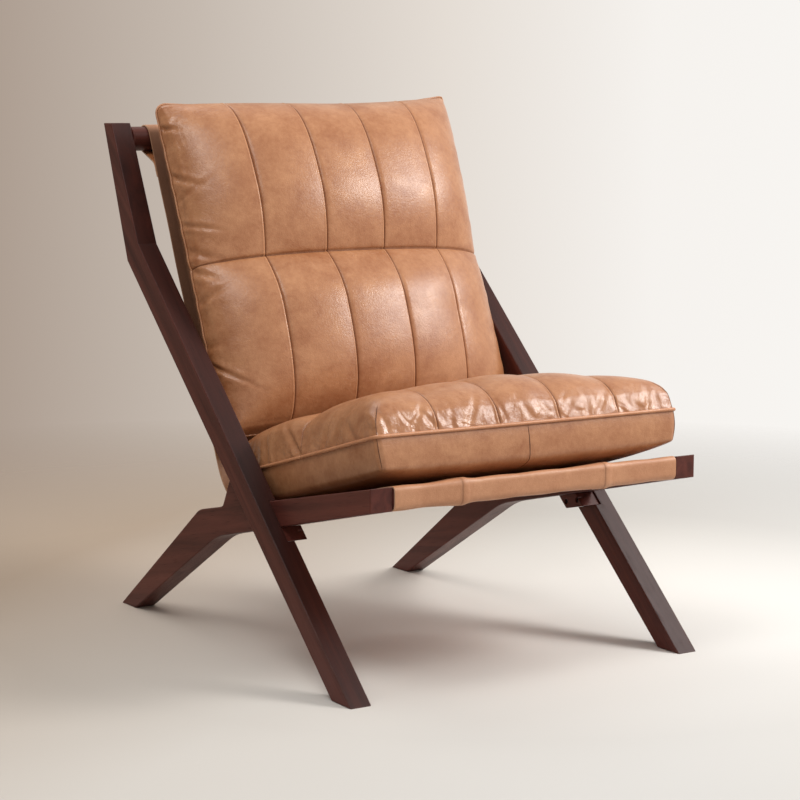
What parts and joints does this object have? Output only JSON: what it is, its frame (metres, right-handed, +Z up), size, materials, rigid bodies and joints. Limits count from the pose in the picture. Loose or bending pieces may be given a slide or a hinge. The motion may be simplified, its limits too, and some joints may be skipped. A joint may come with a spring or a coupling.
{
  "type": "lounge chair",
  "caption": "Low lounge chair: a bolted frame of crossed wooden legs, a leather sling hung between its bars, and loose channelled leather cushions on the sling.",
  "frame": {"origin": "on the floor, under the middle of the chair's bounding box", "axes": "+Z up, the chair faces -Y, X = 0 is its plane of symmetry"},
  "size_m": [0.68, 0.878, 0.9094],
  "materials": {
    "dark_wood": "dark reddish-brown hardwood with a satin oil finish",
    "sling_leather": "thick tan saddle leather, soft sheen",
    "cushion_leather": "soft tan aniline leather, mottled, soft sheen",
    "cushion_filling": "undyed fibre-wrapped filling",
    "bolt_steel": "blackened steel",
    "zip_tape": "brown woven zip tape"
  },
  "bodies": {
    "frame": {"left_post": "dark_wood", "left_side_rail": "dark_wood", "left_cleat": "dark_wood", "left_lap_bolt_low": "bolt_steel", "left_lap_bolt_high": "bolt_steel", "left_cleat_bolt_front": "bolt_steel", "left_cleat_bolt_rear": "bolt_steel", "right_post": "dark_wood", "right_side_rail": "dark_wood", "right_cleat": "dark_wood", "right_lap_bolt_low": "bolt_steel", "right_lap_bolt_high": "bolt_steel", "right_cleat_bolt_front": "bolt_steel", "right_cleat_bolt_rear": "bolt_steel", "top_bar": "dark_wood", "front_bar": "dark_wood", "sling": "sling_leather"},
    "back_cushion": {"back_cushion_cover": "cushion_leather", "back_cushion_core": "cushion_filling", "back_cushion_zip": "zip_tape", "back_cushion_piping": "cushion_leather"},
    "seat_cushion": {"seat_cushion_cover": "cushion_leather", "seat_cushion_core": "cushion_filling", "seat_cushion_zip": "zip_tape", "seat_cushion_piping": "cushion_leather"}
  },
  "joints": [
    {"name": "seat_cushion_slide", "type": "slide", "parent": "frame", "child": "seat_cushion", "axis": [0, -0.9659, 0.2588], "range_m": [0, 0.35]},
    {"name": "back_cushion_lift", "type": "slide", "parent": "frame", "child": "back_cushion", "axis": [0, 0.4019, 0.9157], "range_m": [0, 0.3]}
  ]
}
